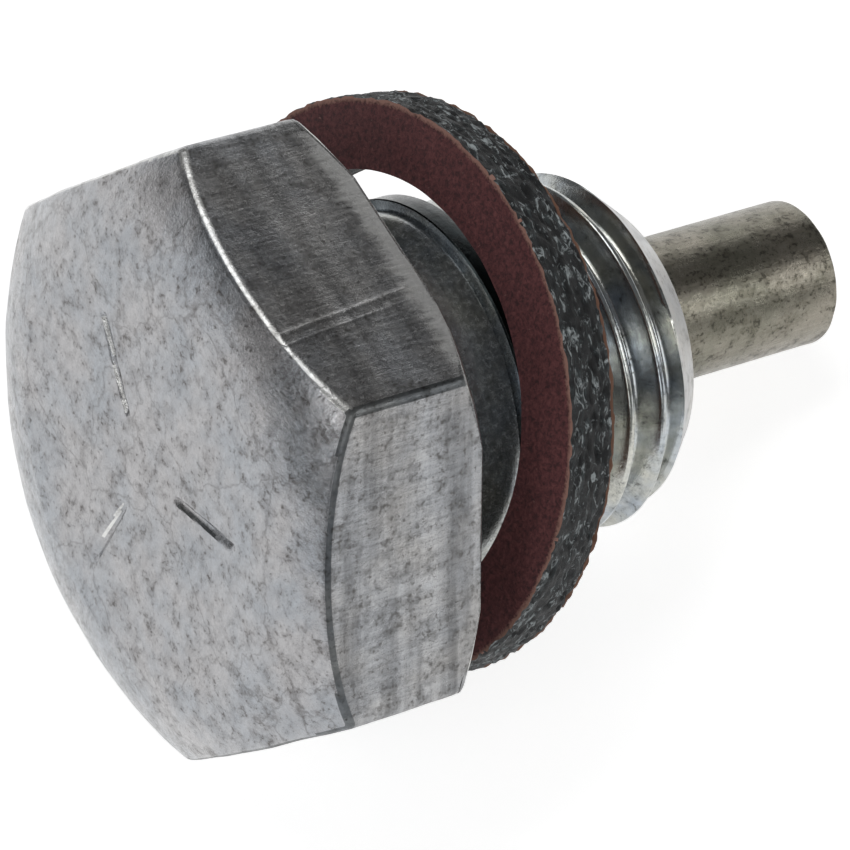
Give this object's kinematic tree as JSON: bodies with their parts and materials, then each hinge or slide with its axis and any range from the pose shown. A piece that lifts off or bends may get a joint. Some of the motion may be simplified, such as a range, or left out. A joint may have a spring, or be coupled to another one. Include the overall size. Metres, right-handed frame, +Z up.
{
  "type": "oil drain plug",
  "caption": "Hexagon-head screw plug with a threaded shank, a magnet rod in its end and a loose flat sealing ring on its neck.",
  "frame": {"origin": "middle of the footprint box, on the surface that the plug lies on", "axes": "+Z up; +X along the plug seen from above, from the head to the magnet; +Y to the left of that"},
  "size_m": [0.0328, 0.0252, 0.023],
  "materials": {
    "zinc_plated_steel": "bright zinc plate over a forging, handled and specked",
    "magnet_alloy": "ground bare alloy, dulled",
    "fibre_ring": "matte bonded fibre, dark cut rim"
  },
  "bodies": {
    "root": {"plug_body": "zinc_plated_steel", "magnet": "magnet_alloy", "gasket": "fibre_ring"}
  },
  "joints": []
}
